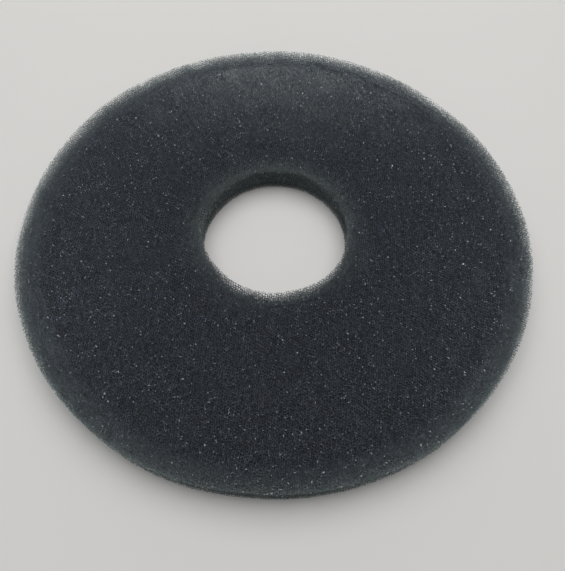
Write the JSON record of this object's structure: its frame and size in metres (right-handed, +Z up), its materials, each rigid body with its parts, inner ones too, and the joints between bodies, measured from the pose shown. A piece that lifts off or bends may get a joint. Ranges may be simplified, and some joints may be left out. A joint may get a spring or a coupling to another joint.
{
  "type": "sponge filter",
  "caption": "Flat round ring of charcoal open-cell foam with a central hole, a filter sponge for a pond or aquarium filter.",
  "frame": {"origin": "middle of the ring's underside, on the surface it lies on", "axes": "+Z up along the ring's axis; +X and +Y across the flat faces"},
  "size_m": [0.172, 0.172, 0.01],
  "materials": {
    "foam": "matte"
  },
  "bodies": {
    "root": {"foam_ring": "foam"}
  },
  "joints": []
}
